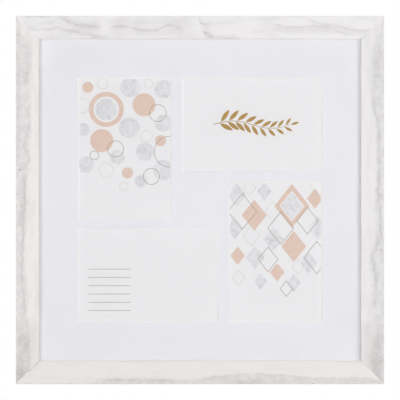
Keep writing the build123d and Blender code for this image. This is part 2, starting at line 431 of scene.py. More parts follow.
@dataclass(frozen=True)
class FoilDecor:
    """What the marble print shows on one rail.

    Attributes:
        cream: The print's ground colour on this rail; on the left and right rails it also carries painted
            light and painted shade that offset the unequal side lights.
        cloud: Colour of the long soft clouds on the ground.
        band_pale: Palest grey of the band along the outer edge.
        band_dark: Darkest grey of that band, without its veins.
        band: Width of the band: millimetres along the rail, and millimetres in from its outer edge.
        veins: The veins.
        flecks: For each dark fleck, millimetres along the rail, in from its outer edge, and its radius.
        painted_mitre_shade: Whether a painted shade, standing for the shadow in the open mitre, darkens the
            foil's cut edge at the mitre where the rail begins.
    """

    cream: str
    cloud: str
    band_pale: str = "#D6D3D3"
    band_dark: str = "#CBC7C7"
    band: tuple[Point, ...] = ()
    veins: tuple[FoilVein, ...] = ()
    flecks: tuple[tuple[float, float, float], ...] = ()
    painted_mitre_shade: bool = False


@dataclass(frozen=True)
class MarbleFoil(Finish):
    """Marble-effect decor foil with a satin lacquer, wrapped round fibreboard.

    The print gives soft grey veins and a mottled, speckled band on a cream ground. The lacquer gives a low,
    even sheen. The board shows bare at the back, in the rabbet and at the mitres, where the foil ends.

    Attributes:
        side: The rail that it covers.
        decor: What the print shows there.
        low: Lowest corner of the rail in millimetres.
        high: Highest corner of the rail in millimetres.
        face: Width of the rail's face in millimetres.
        lip: Depth of the lip in front of the glass in millimetres.
        rabbet: Millimetres of the face that lie in front of the glass.
        lap: Millimetres that the foil laps onto the back.
        seam: Millimetres of foil that turn round an edge before they end.
        mitre_slant: Product of a normal's shares along X and Z that only a mitre passes.
        speck_dark: Colour of the dark specks in the band.
        speck_pale: Colour of the pale specks.
        fleck_and_shade_grey: Colour of the printed flecks and of the painted shade in the open mitre.
        mitre_shade_width: Width in millimetres of the painted dark hairline of shade along the open mitre's
            cut edge.
        mitre_shade_reach: Millimetres in from the outer edge where the painted mitre shade begins and where
            it is full.
        cloud_size: Width of a cloud in millimetres.
        cloud_run: How many times longer along the rail than across a cloud is.
        patch_size: Size of the band's patches in millimetres.
        speck_size: Size of its specks in millimetres.
        grain_size: Size of the grain that breaks the veins up, in millimetres.
        pulse_size: Millimetres along a vein in which its print swells and fades.
        wander_size: Millimetres along a vein in which it swings to and fro.
        wander_reach: How far it swings in millimetres.
        edge_blur: Millimetres on each side of the band's edge in which it fades.
        peel_size: Size of the lacquer's orange peel in millimetres.
        peel_depth: Depth of the orange peel in millimetres.
        satin: Lowest and highest roughness of the lacquer.
        lacquer_ior: Refractive index of the lacquer.
        bare_rough: Roughness of the bare board.
    """

    side: RailSide
    decor: FoilDecor
    low: tuple[float, ...]
    high: tuple[float, ...]
    face: float
    lip: float = 5.0
    rabbet: float = 6.0
    lap: float = 4.0
    seam: float = 0.2
    mitre_slant: float = 0.45
    speck_dark: str = "#B5B1B1"
    speck_pale: str = "#E5E4E2"
    fleck_and_shade_grey: str = "#928D8A"
    mitre_shade_width: float = 0.9
    mitre_shade_reach: Point = (11.0, 17.0)
    cloud_size: float = 10.0
    cloud_run: float = 3.3
    patch_size: float = 7.0
    speck_size: float = 1.5
    grain_size: float = 1.4
    pulse_size: float = 16.0
    wander_size: float = 7.0
    wander_reach: float = 2.2
    edge_blur: float = 3.0
    peel_size: float = 0.9
    peel_depth: float = 0.006
    satin: Point = (0.36, 0.48)
    lacquer_ior: float = 1.5
    bare_rough: float = 0.75

    @property
    def apart(self) -> float:
        """Millimetres that keep this rail's stretch of the print apart from the other rails'."""
        return 2 * self.face * list(RailSide).index(self.side)

    def unroll(self, tree: Tree, place: Socket) -> tuple[Socket, Socket, Socket, Socket]:
        """Lay the foil out flat, as it was before it was wrapped.

        Args:
            tree: The material's node tree.
            place: The place in millimetres.

        Returns:
            Millimetres along the rail, in from its outer edge, back from its face, and across the flat foil.
        """
        axes = add_node(tree, "SeparateXYZ", {0: place}).node.outputs
        starts = {1: self.low, -1: self.high}
        runs = []
        for axis, way in self.side.value:
            shift = -way * starts[way][axis]
            runs.append(add_node(tree, "Math", {0: axes[axis], 1: way, 2: shift}, operation="MULTIPLY_ADD"))
        along, inset = runs
        depth = add_node(tree, "Math", {0: axes[1], 1: self.low[1]}, operation="SUBTRACT")
        inner_half = add_node(tree, "Math", {0: inset, 1: self.face / 2}, operation="GREATER_THAN")
        turned = add_node(tree, "Math", {0: inner_half, 1: 2.0, 2: -1.0}, operation="MULTIPLY_ADD")
        across = add_node(tree, "Math", {0: depth, 1: turned, 2: inset}, operation="MULTIPLY_ADD")
        return along, inset, depth, across

    def bare_board(self, tree: Tree, inset: Socket, depth: Socket) -> Socket:
        """Find where the foil has ended and the board shows.

        Args:
            tree: The material's node tree.
            inset: Millimetres in from the outer edge.
            depth: Millimetres back from the face.

        Returns:
            1 on bare board and 0 on foil.
        """
        thickness = self.high[1] - self.low[1]
        normal = add_node(tree, "NewGeometry", output="True Normal")
        right, _, up = add_node(tree, "SeparateXYZ", {0: normal}).node.outputs
        slant = add_node(tree, "Math", {0: right, 1: up}, operation="MULTIPLY")
        slant = add_node(tree, "Math", {0: slant}, operation="ABSOLUTE")
        bare = add_node(tree, "Math", {0: slant, 1: self.mitre_slant}, operation="GREATER_THAN")
        at_back = ((inset, self.lap), (depth, thickness - self.seam))
        in_rabbet = ((inset, self.face - self.rabbet - self.seam), (depth, self.lip - self.seam))
        for limits in (at_back, in_rabbet):
            inside, behind = (
                add_node(tree, "Math", {0: measure, 1: limit}, operation="GREATER_THAN")
                for measure, limit in limits
            )
            both = add_node(tree, "Math", {0: inside, 1: behind}, operation="MULTIPLY")
            bare = add_node(tree, "Math", {0: bare, 1: both}, operation="MAXIMUM")
        return bare

    def lay_out(self, tree: Tree, along: Socket, across: Socket) -> FoilSheet:
        """Let the print wander over the flat foil, as the veins of a stone do.

        Args:
            tree: The material's node tree.
            along: Millimetres along the rail.
            across: Millimetres across the flat foil.

        Returns:
            The foil with what its print is drawn by.
        """
        place = add_node(tree, "CombineXYZ", {0: along, 1: across, 2: self.apart})
        noise = {"Vector": place, "Scale": 1 / self.wander_size, "Detail": 3.0}
        wander = add_node(tree, "TexNoise", noise, "Color")
        centred = add_node(tree, "VectorMath", {0: wander, 1: (NOISE_MIDDLE,) * 3}, operation="SUBTRACT")
        shift = add_node(tree, "VectorMath", {0: centred, "Scale": 2 * self.wander_reach}, operation="SCALE")
        moved = add_node(tree, "VectorMath", {0: place, 1: shift}, operation="ADD")
        moved_along, moved_across, _ = add_node(tree, "SeparateXYZ", {0: moved}).node.outputs
        grain, swell = (
            add_node(tree, "TexNoise", {"Vector": place, "Scale": 1 / size})
            for size in (self.grain_size, self.pulse_size)
        )
        pulse = add_node(tree, "MapRange", {0: swell, **VEIN_PULSE})
        return FoilSheet(tree, self.face, place, moved_along, moved_across, grain, pulse)

    def ground(self, sheet: FoilSheet) -> Socket:
        """Print the cream ground with long soft clouds.

        Args:
            sheet: The flat foil.

        Returns:
            A colour socket.
        """
        squeeze = (1 / self.cloud_run, 1.0, 1.0)
        drawn_out = add_node(sheet.tree, "VectorMath", {0: sheet.place, 1: squeeze}, operation="MULTIPLY")
        noise = {"Vector": drawn_out, "Scale": 1 / self.cloud_size, "Detail": 3.0}
        clouds = add_node(sheet.tree, "TexNoise", noise)
        cloud = Tone(self.decor.cloud, begin=0.42, full=0.68, share=0.7)
        return lay_tones(sheet.tree, linear(self.decor.cream), clouds, cloud)

    def mottle(self, sheet: FoilSheet) -> Socket:
        """Print the speckled grey of the band.

        Args:
            sheet: The flat foil.

        Returns:
            A colour socket.
        """
        noise = {"Scale": 1 / self.patch_size, "Detail": 5.0, "Roughness": 0.7}
        patches = add_node(sheet.tree, "TexNoise", {"Vector": sheet.place, **noise})
        pale = Tone(self.decor.band_pale, begin=0.34, full=0.66)
        greys = lay_tones(sheet.tree, linear(self.decor.band_dark), patches, pale)
        specks = add_node(sheet.tree, "TexNoise", {"Vector": sheet.place, "Scale": 1 / self.speck_size})
        dark_speck = Tone(self.speck_dark, begin=0.38, full=0.27, share=0.7)
        pale_speck = Tone(self.speck_pale, begin=0.62, full=0.73, share=0.7)
        return lay_tones(sheet.tree, greys, specks, dark_speck, pale_speck)

    def paint_mitre_shade(self, sheet: FoilSheet) -> Socket:
        """Paint shade as a dark line on the foil's cut edge at the open mitre where the rail begins.

        Args:
            sheet: The flat foil.

        Returns:
            The share of the painted shade's colour.
        """
        tree = sheet.tree
        along, across, _ = add_node(tree, "SeparateXYZ", {0: sheet.place}).node.outputs
        off = add_node(tree, "Math", {0: along, 1: across}, operation="SUBTRACT")
        line = add_node(tree, "MapRange", {0: off, 1: self.mitre_shade_width * math.sqrt(2), 2: 0.0}, **EASED)
        painted_mitre_shade = add_node(tree, "MapRange", {0: across, 1: self.mitre_shade_reach[0], 2: self.mitre_shade_reach[1]}, **EASED)
        return add_node(tree, "Math", {0: line, 1: painted_mitre_shade}, operation="MULTIPLY")

    def printed(self, sheet: FoilSheet) -> Socket:
        """Print the whole foil: its ground, its band, its veins and its flecks, with painted shade in the
        open mitre.

        Args:
            sheet: The flat foil.

        Returns:
            A colour socket.
        """
        tree = sheet.tree
        layers = []
        if self.decor.band:
            limits = {1: self.edge_blur, 2: -self.edge_blur}
            share = add_node(tree, "MapRange", {0: sheet.past(self.decor.band), **limits}, **EASED)
            layers.append((share, self.mottle(sheet)))
        layers += [(vein.draw(sheet), linear(vein.tone)) for vein in self.decor.veins]
        # Painted shade: a dark line on the foil where the open mitre holds shadow.
        if self.decor.painted_mitre_shade:
            layers.append((self.paint_mitre_shade(sheet), linear(self.fleck_and_shade_grey)))
        colour = self.ground(sheet)
        for share, tone in layers:
            colour = add_node(tree, "Mix", {0: share, 6: colour, 7: tone}, **COLOURS)
        for along, across, radius in self.decor.flecks:
            spot = {0: sheet.place, 1: (along, across, self.apart)}
            far = add_node(tree, "VectorMath", spot, "Value", operation="DISTANCE")
            colour = lay_tones(tree, colour, far, Tone(self.fleck_and_shade_grey, begin=radius, full=0.0))
        return colour

    def surface(self, tree: Tree) -> Socket:
        """Show the lacquered print, and the bare board where the foil ends.

        Args:
            tree: The material's node tree.

        Returns:
            The shader.
        """
        place = place_in_mm(tree)
        along, inset, depth, across = self.unroll(tree, place)
        bare = self.bare_board(tree, inset, depth)
        _, board = RAW_BOARD.felt(tree, place)
        printed = self.printed(self.lay_out(tree, along, across))
        colour = add_node(tree, "Mix", {0: bare, 6: printed, 7: board}, **COLOURS)
        peel = add_node(tree, "TexNoise", {"Vector": place, "Scale": 1 / self.peel_size})
        satin = add_node(tree, "MapRange", {0: peel, **NOISE_SPAN, 3: self.satin[0], 4: self.satin[1]})
        rough = add_node(tree, "Mix", {0: bare, 2: satin, 3: self.bare_rough})
        bump = add_node(tree, "Bump", {"Height": peel, "Distance": self.peel_depth * MM, "Strength": 0.6})
        inputs = {"Base Color": colour, "Roughness": rough, "IOR": self.lacquer_ior, "Normal": bump}
        return add_node(tree, "BsdfPrincipled", inputs)


@dataclass(frozen=True)
class FloatGlass(Finish):
    """Clear float glass: flat, polished by its own making, with a faint mirror that grows at a slant.

    Attributes:
        ior: Refractive index of soda-lime glass.
    """

    ior: float = 1.52

    def surface(self, tree: Tree) -> Socket:
        """Let light straight through, with a mirror by the Fresnel share that is the same at both faces.

        Args:
            tree: The material's node tree.

        Returns:
            The shader.
        """
        leaving = add_node(tree, "NewGeometry", output="Backfacing")
        index = add_node(tree, "Mix", {0: leaving, 2: self.ior, 3: 1 / self.ior})
        mirror_share = add_node(tree, "Fresnel", {"IOR": index})
        clear = add_node(tree, "BsdfTransparent")
        mirror = add_node(tree, "BsdfGlossy", {"Roughness": 0.0})
        return add_node(tree, "MixShader", {0: mirror_share, 1: clear, 2: mirror})


@dataclass(frozen=True)
class Paper(Finish):
    """Uncoated or coated paper: a matt white with a faint cloud of fibre.

    Attributes:
        white: Colour of the face.
        shade: Colour of the faint clouds.
        core: Colour of a slanting cut edge, where the middle of the board shows.
        cloud: Size of the clouds in millimetres.
        tooth: Size of the paper's tooth in millimetres, drawn coarser than real so that it shows.
        relief: Height of the tooth in millimetres.
        rough: Lowest and highest roughness.
        face_on: Share of a normal along Y that only the paper's face passes.
    """

    white: str
    shade: str
    core: str
    cloud: float = 12.0
    tooth: float = 0.7
    relief: float = 0.01
    rough: Point = (0.78, 0.9)
    face_on: float = 0.9

    def surface(self, tree: Tree) -> Socket:
        """Show the paper, and the brighter middle of the board on a bevel.

        Args:
            tree: The material's node tree.

        Returns:
            The shader.
        """
        place = place_in_mm(tree)
        clouds = add_node(tree, "TexNoise", {"Vector": place, "Scale": 1 / self.cloud, "Detail": 4.0})
        shade = Tone(self.shade, begin=0.35, full=0.7, eased=False)
        face = lay_tones(tree, linear(self.white), clouds, shade)
        normal = add_node(tree, "NewGeometry", output="True Normal")
        facing = add_node(tree, "SeparateXYZ", {0: normal}, "Y")
        flat = add_node(tree, "Math", {0: facing}, operation="ABSOLUTE")
        cut = add_node(tree, "Math", {0: flat, 1: self.face_on}, operation="LESS_THAN")
        colour = add_node(tree, "Mix", {0: cut, 6: face, 7: linear(self.core)}, **COLOURS)
        tooth = add_node(tree, "TexNoise", {"Vector": place, "Scale": 1 / self.tooth, "Detail": 3.0})
        return coat(tree, colour, tooth, self.rough, self.relief)


@dataclass(frozen=True)
class LitPaper(Finish):
    """Matt white studio paper under so much soft light that it shows no shade of its own.

    Attributes:
        white: Colour of the paper.
        glow: How much of that white the room's light gives back evenly.
        rough: Roughness of the paper.
    """

    white: str
    glow: float
    rough: float = 0.9

    def surface(self, tree: Tree) -> Socket:
        """Show the paper, lit evenly.

        Args:
            tree: The material's node tree.

        Returns:
            The shader.
        """
        white = linear(self.white)
        glow = {"Emission Color": white, "Emission Strength": self.glow}
        return add_node(tree, "BsdfPrincipled", {"Base Color": white, "Roughness": self.rough, **glow})


@dataclass(frozen=True)
class PlatedSteel(Finish):
    """Cold-rolled steel with a thin bright plating: a metal mirror blurred by fine rolling lines.

    Attributes:
        bright: Colour where the plating is thickest.
        dull: Colour where it is thin or fingered.
        line: Spacing of the rolling lines in millimetres.
        stretch: How many times longer than wide a line is, along X, Y and Z.
        rough: Lowest and highest roughness.
        relief: Height of the lines in millimetres.
        cloud: Size of the duller clouds in millimetres.
    """

    bright: str
    dull: str
    line: float = 0.35
    stretch: tuple[float, float, float] = (1.0, 1.0, 1.0)
    rough: Point = (0.24, 0.4)
    relief: float = 0.004
    cloud: float = 6.0

    def surface(self, tree: Tree) -> Socket:
        """Show the plating with its lines and a few duller clouds.

        Args:
            tree: The material's node tree.

        Returns:
            The shader.
        """
        place = place_in_mm(tree)
        squeeze = tuple(1 / share for share in self.stretch)
        laid = add_node(tree, "VectorMath", {0: place, 1: squeeze}, operation="MULTIPLY")
        lines = add_node(tree, "TexNoise", {"Vector": laid, "Scale": 1 / self.line, "Detail": 3.0})
        clouds = add_node(tree, "TexNoise", {"Vector": place, "Scale": 1 / self.cloud, "Detail": 4.0})
        dull = Tone(self.dull, begin=0.42, full=0.66, share=0.8)
        colour = lay_tones(tree, linear(self.bright), clouds, dull)
        return coat(tree, colour, lines, self.rough, self.relief, Metallic=1.0)


@dataclass(frozen=True)
class FlatInk(Finish):
    """Offset ink on coated paper: an even tone with the slight mottle of a printed solid.

    Attributes:
        full: Colour where the ink is densest.
        thin: Colour where it is thinnest.
        mottle: Size of the mottle in millimetres.
        rough: Roughness of the dried ink.
    """

    full: str
    thin: str
    mottle: float = 2.5
    rough: float = 0.6

    def surface(self, tree: Tree) -> Socket:
        """Show the ink.

        Args:
            tree: The material's node tree.

        Returns:
            The shader.
        """
        noise = {"Scale": 1 / self.mottle, "Detail": 4.0, "Roughness": 0.6}
        density = add_node(tree, "TexNoise", {"Vector": place_in_mm(tree), **noise})
        thin = Tone(self.thin, begin=0.35, full=0.65, eased=False)
        colour = lay_tones(tree, linear(self.full), density, thin)
        return add_node(tree, "BsdfPrincipled", {"Base Color": colour, "Roughness": self.rough})


@dataclass(frozen=True)
class MarbleInk(Finish):
    """A marble tint printed in grey halftone: pale clouds with a few darker, crooked veins.

    Attributes:
        pale: The palest cloud.
        mid: The darkest cloud.
        vein: The veins.
        cloud: Size of a cloud in millimetres.
        vein_run: Spacing of the veins in millimetres.
        rough: Roughness of the dried ink.
    """

    pale: str
    mid: str
    vein: str
    cloud: float = 10.0
    vein_run: float = 14.0
    rough: float = 0.62

    def surface(self, tree: Tree) -> Socket:
        """Show the tint, with a vein wherever a noise crosses its middle.

        Args:
            tree: The material's node tree.

        Returns:
            The shader.
        """
        place = place_in_mm(tree)
        noise = {"Scale": 1 / self.cloud, "Detail": 4.0, "Distortion": 0.6}
        clouds = add_node(tree, "TexNoise", {"Vector": place, **noise})
        tint = lay_tones(tree, linear(self.pale), clouds, Tone(self.mid, begin=0.38, full=0.62))
        noise = {"Scale": 1 / self.vein_run, "Detail": 5.0, "Distortion": 1.0}
        swell = add_node(tree, "TexNoise", {"Vector": place, **noise})
        off = add_node(tree, "Math", {0: swell, 1: NOISE_MIDDLE}, operation="SUBTRACT")
        near = add_node(tree, "Math", {0: off}, operation="ABSOLUTE")
        colour = lay_tones(tree, tint, near, Tone(self.vein, begin=0.03, full=0.0, share=0.8))
        return add_node(tree, "BsdfPrincipled", {"Base Color": colour, "Roughness": self.rough})


RAW_BOARD = Fibreboard("raw_fibreboard")
BACKING = Fibreboard(
    "pressed_backing_board", tan="#9C7A52", dark_fibre="#76573A", pale_fibre="#B99A70", clump=14.0
)
PANE = FloatGlass("float_glass")
MAT = Paper("white_core_mat_board", white="#E8E7EC", shade="#E7E6EB", core="#F8F7F6", relief=0.006)
PRINT_STOCK = Paper(
    "coated_print_stock", white="#EBEAEC", shade="#EAE9EB", core="#ECEBEC", relief=0.004, rough=(0.55, 0.68)
)
TAPE = Paper("gummed_paper_tape", white="#DDD2BC", shade="#D3C7AE", core="#D8CCB4", tooth=0.5, relief=0.02)
BUTTON_ZINC = PlatedSteel("zinc_plated_strip", bright="#D3D6D8", dull="#B4B8BA", stretch=(14.0, 1.0, 1.0))
SCREW_ZINC = PlatedSteel("zinc_plated_screw", bright="#C9CCCF", dull="#A3A6A8", line=0.25, rough=(0.28, 0.42))
STRAP_NICKEL = PlatedSteel("nickel_plated_strip", bright="#D9D5CC", dull="#BDB8AD", stretch=(1.0, 1.0, 12.0))
RING_NICKEL = PlatedSteel(
    "nickel_plated_wire", bright="#DDD9D0", dull="#C4BFB4", line=0.25, rough=(0.14, 0.26)
)
NAIL_STEEL = PlatedSteel("blued_steel_strip", bright="#8E9299", dull="#6E7278", rough=(0.3, 0.5))
FLOOR_PAPER = LitPaper("studio_floor_paper", white="#F4F3F1", glow=0.78)

TOP_DECOR = FoilDecor(
    cream="#E5E3E4",
    cloud="#D9D7D7",
    veins=(
        FoilVein(
            ((34, 14.0), (60, 14.0), (94, 13.0)), 13.0, 12.0, 0.12, ragged=0.0, halo=0.0, end=8.0, soft=0.6
        ),
        FoilVein(((11, 1.0), (25, 0.6), (38, 1.2)), 1.4, 1.4, 0.6, ragged=0.2),
        FoilVein(((48, 1.0), (61, 7.4), (74, 10.7), (91, 12.0)), 2.4, 2.4, 0.75),
        FoilVein(((11, 13.0), (30, 15.0), (38, 14.7), (44, 13.0), (52, 14.7), (61, 17.4)), 1.0, 1.2, 0.55),
        FoilVein(((59, 17.0), (74, 20.0), (84, 22.0), (98, 23.0)), 2.2, 2.2, 0.75),
        FoilVein(((92, 4.0), (98, 10.0), (104, 14.0)), 9.0, 9.0, 0.7, ragged=0.0, tone="#E9E8E5"),
        FoilVein(
            (
                (103, 12.0), (113, 11.4), (125, 13.0), (136, 15.0), (147, 15.9),
                (154, 14.7), (160, 12.0), (167, 10.2), (172, 12.0), (182, 13.8),
            ),
            1.2, 1.4, 0.7,
        ),
        FoilVein(
            ((102, 13.0), (140, 13.0), (190, 12.0)), 14.0, 13.0, 0.16, ragged=0.0, halo=0.0, end=8.0, soft=0.5
        ),
        FoilVein(((199, 5.0), (204, 9.0), (211, 9.0)), 3.0, 3.0, 1.0, ragged=0.9, halo=0.2, end=2.0),
        FoilVein(((204, 18.0), (208, 20.5), (214, 22.0)), 4.5, 4.5, 1.0, ragged=0.7, halo=0.3, end=2.0),
        FoilVein(((211, 22.0), (222, 23.0), (240, 24.5)), 1.2, 1.6, 0.4),
        FoilVein(
            ((281, 9.0), (292, 11.4), (304, 11.2), (321, 11.0), (342, 11.4)), 0.8, 4.0, 0.45, ragged=0.3
        ),
        FoilVein(
            ((316, 3.8), (326, 6.5), (335, 8.3), (346, 10.1), (357, 13.0), (371, 15.4), (385, 15.0)),
            0.8, 3.6, 0.45, ragged=0.3,
        ),
        FoilVein(((346, 14.5), (352, 18.0), (366, 20.5)), 1.0, 1.4, 0.5),
    ),
)
BOTTOM_DECOR = FoilDecor(
    cream="#E3DFDC",
    cloud="#DEDAD8",
    band_pale="#DBD8D6",
    band_dark="#CECBC9",
    band=(
        (0, 0.0), (80, 1.5), (92, 5.0), (130, 6.0), (170, 5.5), (187, 4.0), (202, 7.0),
        (232, 10.0), (256, 10.0), (281, 10.0), (305, 7.5), (325, 6.0), (365, 6.0), (400, 5.0),
    ),
    veins=(
        FoilVein(
            ((90, 5.0), (110, 4.6), (130, 3.5), (150, 3.6), (172, 4.6)),
            1.3, 1.3, 0.8, ragged=1.0, halo=0.3, halo_spread=2.0,
        ),
        FoilVein(
            (
                (205, 6.5), (232, 9.5), (243, 10.6), (262, 10.6), (276, 10.0), (292, 9.2),
                (303, 8.5), (318, 7.0), (335, 6.2), (355, 6.0), (375, 6.8), (388, 5.6),
            ),
            1.4, 0.8, 0.6, ragged=0.8, halo=0.3,
        ),
        FoilVein(((230, 2.8), (250, 2.5), (268, 2.8)), 1.5, 1.5, 0.7, ragged=1.0),
    ),
    # Painted shade along the open mitre at the bottom left corner.
    painted_mitre_shade=True,
)
LEFT_DECOR = FoilDecor(
    # This cream is painted a few levels lighter than the foil's own, as painted light that offsets the weaker
    # light from the left soft box.
    cream="#E6E3E1",
    cloud="#DCD9D9",
    band_pale="#E0DDDD",
    band_dark="#D3CFD0",
    band=(
        (0, 2.0), (18, 6.0), (30, 15.0), (42, 17.5), (70, 14.0), (100, 16.0), (150, 15.0),
        (180, 12.5), (225, 11.5), (260, 8.0), (290, 12.0), (320, 11.5), (340, 15.0), (400, 15.5),
    ),
    veins=(
        FoilVein(((40, 2.0), (110, 2.5), (160, 2.0)), 2.0, 2.4, 0.4, ragged=1.0),
        FoilVein(((55, 12.5), (63, 12.0), (72, 12.5)), 4.0, 3.0, 0.4, ragged=0.7),
        FoilVein(
            (
                (105, 13.0), (118, 14.5), (127, 11.0), (142, 9.0), (148, 12.7),
                (158, 14.5), (165, 7.5), (175, 8.2), (200, 8.6),
            ),
            1.5, 1.5, 0.65, ragged=1.0, halo=0.25,
        ),
        FoilVein(((176, 9.0), (200, 9.2), (216, 8.2), (238, 7.6)), 1.1, 1.1, 0.85),
        FoilVein(((196, 6.4), (215, 5.4), (232, 4.6)), 1.0, 1.0, 0.6),
        FoilVein(
            ((236, 8.2), (247, 7.4), (295, 7.4), (304, 8.2), (321, 10.0)),
            1.7, 1.5, 0.85, ragged=0.9, halo=0.3,
        ),
        FoilVein(
            ((332, 14.0), (370, 14.0), (410, 14.0)),
            15.0, 14.0, 0.2, ragged=0.0, halo=0.0, end=10.0, soft=0.6, tone="#B3B0A7",
        ),
        FoilVein(
            ((344, 9.5), (360, 9.0), (374, 9.0), (398, 8.5)),
            9.0, 7.5, 0.56, ragged=0.8, halo=0.0, soft=0.45, tone="#AFACA6",
        ),
        FoilVein(((374, 5.0), (386, 4.5), (400, 4.0)), 6.0, 5.0, 0.5, halo=0.0, soft=0.5, tone="#ADA7A4"),
    ),
    flecks=((167, 4.0, 1.6), (193, 1.5, 1.0), (206, 5.5, 1.2)),
)
RIGHT_DECOR = FoilDecor(
    # This cream is painted a few levels darker than the foil's own, as painted shade that offsets the
    # stronger light from the right soft box.
    cream="#E1DFDF",
    cloud="#D8D7D6",
    band_pale="#DCDADC",
    band_dark="#CFCDCD",
    band=(
        (0, 2.0), (18, 5.0), (30, 11.5), (57, 14.5), (95, 12.5), (118, 8.5), (160, 8.5), (200, 9.5),
        (240, 9.5), (263, 16.0), (280, 13.5), (320, 12.5), (345, 10.0), (370, 15.5), (400, 15.5),
    ),
    veins=(
        FoilVein(((30, 7.0), (46, 8.0), (64, 8.0), (76, 7.0)), 6.0, 5.5, 0.4, ragged=1.0, halo=0.0, soft=0.6),
        FoilVein(
            ((86, 10.7), (101, 10.7), (115, 7.1), (134, 5.3), (148, 5.3), (167, 5.3), (186, 6.1), (205, 6.0)),
            1.6, 1.6, 0.8, ragged=0.7,
        ),
        FoilVein(((206, 4.4), (222, 4.4), (240, 3.5)), 1.0, 1.0, 0.9, ragged=0.3),
        FoilVein(
            ((238, 6.0), (252, 8.0), (262, 12.5), (276, 10.0), (296, 9.0), (316, 10.7)),
            1.7, 1.7, 0.75, ragged=0.9,
        ),
        FoilVein(((340, 7.0), (350, 7.0), (358, 8.0)), 2.5, 2.5, 0.4, ragged=0.7),
        FoilVein(
            ((336, 14.0), (370, 14.0), (410, 14.0)),
            15.0, 14.0, 0.3, ragged=0.0, halo=0.0, end=10.0, soft=0.6, tone="#B3ACAA",
        ),
        FoilVein(
            ((350, 6.5), (366, 7.5), (380, 7.5), (400, 7.0)),
            8.5, 8.0, 0.46, ragged=0.8, halo=0.0, soft=0.45, tone="#B0AAA9",
        ),
    ),
    flecks=((254, 3.5, 1.5),),
)


def cover(piece: bpy.types.Object, finish: Finish) -> None:
    """Give a piece its finish.

    Args:
        piece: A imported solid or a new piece.
        finish: The finish that covers it.
    """
    piece.data.materials.clear()
    piece.data.materials.append(finish.material())
    log.info("%s: %s", piece.name, finish.name)


def link_object(name: str, data: bpy.types.ID) -> bpy.types.Object:
    """Put a new object into the scene.

    Args:
        name: The object's name.
        data: Its mesh, light or camera.

    Returns:
        The object.
    """
    made = bpy.data.objects.new(name, data)
    bpy.context.scene.collection.objects.link(made)
    return made


class Assembly:
    """A sub-assembly whose solids are dressed together.

    Attributes:
        finishes: The finish of each solid, by the start of the solid's name.
    """

    finishes: ClassVar[dict[str, Finish]] = {}

    def dress(self, nodes: Nodes) -> None:
        """Give each solid the first finish that goes with its name.

        Args:
            nodes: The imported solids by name.
        """
        for name, node in nodes.items():
            finish = next((made for start, made in self.finishes.items() if name.startswith(start)), None)
            if finish is not None:
                cover(node, finish)


class SheetStack(Assembly):
    """The flat sheets in the rabbet, from the glass to the backing board."""

    finishes = {"glass_pane": PANE, "window_mat": MAT, "print_tapes": TAPE, "backing_board": BACKING}


class BackHardware(Assembly):
    """The turn buttons with their screws, and the two hangers."""

    finishes = {
        "turn_button_screws": SCREW_ZINC,
        "hanger_rivets": SCREW_ZINC,
        "turn_button": BUTTON_ZINC,
        "hanger_strap": STRAP_NICKEL,
        "hanger_ring": RING_NICKEL,
    }


@dataclass
class Moulding(Assembly):
    """The four mitred rails and the nails that hold their corners.

    Attributes:
        decors: What the foil's print shows on each rail.
        face: Width of a rail's face in millimetres.
    """

    finishes = {"corner_v_nails": NAIL_STEEL}
    decors: ClassVar[dict[RailSide, FoilDecor]] = {
        RailSide.TOP: TOP_DECOR,
        RailSide.BOTTOM: BOTTOM_DECOR,
        RailSide.LEFT: LEFT_DECOR,
        RailSide.RIGHT: RIGHT_DECOR,
    }
    face: float = 25.0

    def dress(self, nodes: Nodes) -> None:
        """Wrap each rail in its own stretch of foil.

        Args:
            nodes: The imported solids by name.
        """
        super().dress(nodes)
        for side, decor in self.decors.items():
            low, high = (tuple(corner / MM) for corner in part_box(side.node))
            name = f"marble_foil_{side.name.lower()}"
            cover(nodes[side.node], MarbleFoil(name, side, decor, low, high, self.face))


class Ink(Enum):
    """The inks with their finishes, in the order in which they are printed on each other."""

    MARBLE = MarbleInk("grey_marble_tint", pale="#E3E3E6", mid="#D9D9DC", vein="#CBCBCF")
    PEACH = FlatInk("peach_ink", full="#DBC1B3", thin="#E0C9BC")
    PALE = FlatInk("pale_grey_line_ink", full="#CFCBC4", thin="#D6D3CD", mottle=1.0)
    DARK = FlatInk("bronze_grey_line_ink", full="#7F7565", thin="#948A79", mottle=1.0)
    GOLD = FlatInk("old_gold_ink", full="#9F7A3A", thin="#B99655", mottle=1.2, rough=0.42)
    RULE = FlatInk("mid_grey_rule_ink", full="#9B9997", thin="#A8A7A5", mottle=1.0)

    @property
    def layer(self) -> int:
        """Number of the ink's layer, from 1 at the paper."""
        return list(Ink).index(self) + 1


class MotifShape(Enum):
    """Outline of a printed motif.

    The value holds its number of sides, its width for a height of 1, and the millimetres from its top corner
    to the top corner inside a line 1 mm wide.
    """

    DISC = (72, 1.0, 1.0)
    LOZENGE = (4, 0.8, math.hypot(1.0, 0.8) / 0.8)


class PrintDesign(ABC):
    """A design that is printed on one of the sheets."""

    @abstractmethod
    def shapes(self) -> Iterator[tuple[Ink, Polygon]]:
        """Give the design's shapes.

        Yields:
            Each convex polygon with its ink, in millimetres from the window's middle.
        """


